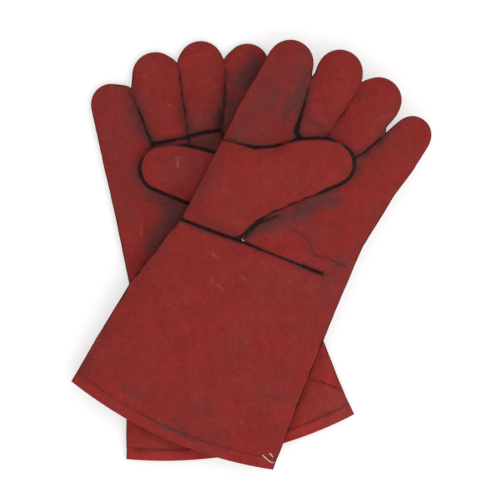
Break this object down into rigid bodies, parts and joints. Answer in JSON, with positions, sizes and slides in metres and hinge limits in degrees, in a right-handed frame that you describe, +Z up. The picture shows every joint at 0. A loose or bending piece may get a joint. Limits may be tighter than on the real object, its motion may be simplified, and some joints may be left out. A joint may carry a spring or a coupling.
{
  "type": "welding gloves",
  "caption": "Pair of long leather welding gauntlets lying palm up, one crossed over the other, with lined fingers, folded thumbs and flared cuffs.",
  "frame": {"origin": "centre of the pair's footprint, on the surface it lies on", "axes": "+Y towards the fingertips, +Z up out of the palms"},
  "size_m": [0.3226, 0.3834, 0.0575],
  "materials": {
    "red_leather": "matte split leather, napped",
    "welt_leather": "matte leather strip",
    "lining_cloth": "plain woven cotton"
  },
  "bodies": {
    "right_glove": {"right_hand_palm": "red_leather", "right_hand_back": "red_leather", "right_hand_side_welts": "welt_leather", "right_hand_lining": "lining_cloth", "right_cuff_front": "red_leather", "right_cuff_back": "red_leather", "right_cuff_side_welts": "welt_leather", "right_cuff_hem": "red_leather", "right_wrist_welt": "welt_leather", "right_cuff_lining": "lining_cloth"},
    "right_thumb": {"right_thumb_outer": "red_leather", "right_thumb_inner": "red_leather", "right_thumb_welt": "welt_leather", "right_thumb_lining": "lining_cloth"},
    "right_index_finger": {"right_index_front": "red_leather", "right_index_back": "red_leather", "right_index_welt": "welt_leather", "right_index_lining": "lining_cloth"},
    "right_middle_finger": {"right_middle_front": "red_leather", "right_middle_back": "red_leather", "right_middle_welt": "welt_leather", "right_middle_lining": "lining_cloth"},
    "right_ring_finger": {"right_ring_front": "red_leather", "right_ring_back": "red_leather", "right_ring_welt": "welt_leather", "right_ring_lining": "lining_cloth"},
    "right_little_finger": {"right_little_front": "red_leather", "right_little_back": "red_leather", "right_little_welt": "welt_leather", "right_little_lining": "lining_cloth"},
    "left_glove": {"left_hand_palm": "red_leather", "left_hand_back": "red_leather", "left_hand_side_welts": "welt_leather", "left_hand_lining": "lining_cloth", "left_cuff_front": "red_leather", "left_cuff_back": "red_leather", "left_cuff_side_welts": "welt_leather", "left_cuff_hem": "red_leather", "left_wrist_welt": "welt_leather", "left_cuff_lining": "lining_cloth"},
    "left_thumb": {"left_thumb_outer": "red_leather", "left_thumb_inner": "red_leather", "left_thumb_welt": "welt_leather", "left_thumb_lining": "lining_cloth"},
    "left_index_finger": {"left_index_front": "red_leather", "left_index_back": "red_leather", "left_index_welt": "welt_leather", "left_index_lining": "lining_cloth"},
    "left_middle_finger": {"left_middle_front": "red_leather", "left_middle_back": "red_leather", "left_middle_welt": "welt_leather", "left_middle_lining": "lining_cloth"},
    "left_ring_finger": {"left_ring_front": "red_leather", "left_ring_back": "red_leather", "left_ring_welt": "welt_leather", "left_ring_lining": "lining_cloth"},
    "left_little_finger": {"left_little_front": "red_leather", "left_little_back": "red_leather", "left_little_welt": "welt_leather", "left_little_lining": "lining_cloth"}
  },
  "joints": [
    {"name": "right_thumb_fold", "type": "hinge", "parent": "right_glove", "child": "right_thumb", "pos_m": [0.02713, 0.0409, 0.01625], "axis": [-0.1246, 0.9922, 0], "range_deg": [0, 120]},
    {"name": "right_index_curl", "type": "hinge", "parent": "right_glove", "child": "right_index_finger", "pos_m": [-0.00256, 0.11421, 0.016], "axis": [0.9763, 0.2164, 0], "range_deg": [0, 60]},
    {"name": "right_middle_curl", "type": "hinge", "parent": "right_glove", "child": "right_middle_finger", "pos_m": [-0.04039, 0.10582, 0.016], "axis": [0.9763, 0.2164, 0], "range_deg": [0, 60]},
    {"name": "right_ring_curl", "type": "hinge", "parent": "right_glove", "child": "right_ring_finger", "pos_m": [-0.07163, 0.09889, 0.016], "axis": [0.9763, 0.2164, 0], "range_deg": [0, 60]},
    {"name": "right_little_curl", "type": "hinge", "parent": "right_glove", "child": "right_little_finger", "pos_m": [-0.11117, 0.09013, 0.016], "axis": [0.9763, 0.2164, 0], "range_deg": [0, 60]},
    {"name": "left_glove_lift", "type": "slide", "parent": "right_glove", "child": "left_glove", "axis": [0, 0, 1], "range_m": [0, 0.3]},
    {"name": "left_thumb_fold", "type": "hinge", "parent": "left_glove", "child": "left_thumb", "pos_m": [-0.04339, 0.06904, 0.04525], "axis": [-0.4577, -0.8891, 0], "range_deg": [0, 120]},
    {"name": "left_index_curl", "type": "hinge", "parent": "left_glove", "child": "left_index_finger", "pos_m": [0.0157, 0.1277, 0.045], "axis": [0.933, -0.36, 0], "range_deg": [0, 60]},
    {"name": "left_middle_curl", "type": "hinge", "parent": "left_glove", "child": "left_middle_finger", "pos_m": [0.0547, 0.11265, 0.045], "axis": [0.933, -0.36, 0], "range_deg": [0, 60]},
    {"name": "left_ring_curl", "type": "hinge", "parent": "left_glove", "child": "left_ring_finger", "pos_m": [0.08749, 0.09999, 0.045], "axis": [0.933, -0.36, 0], "range_deg": [0, 60]},
    {"name": "left_little_curl", "type": "hinge", "parent": "left_glove", "child": "left_little_finger", "pos_m": [0.12831, 0.08424, 0.045], "axis": [0.933, -0.36, 0], "range_deg": [0, 60]}
  ],
  "couplings": [
    {"joint": "right_thumb_fold", "follows": "left_glove_lift", "rad_per_m": 6.9806},
    {"joint": "right_index_curl", "follows": "left_glove_lift", "rad_per_m": 3.4903}
  ]
}
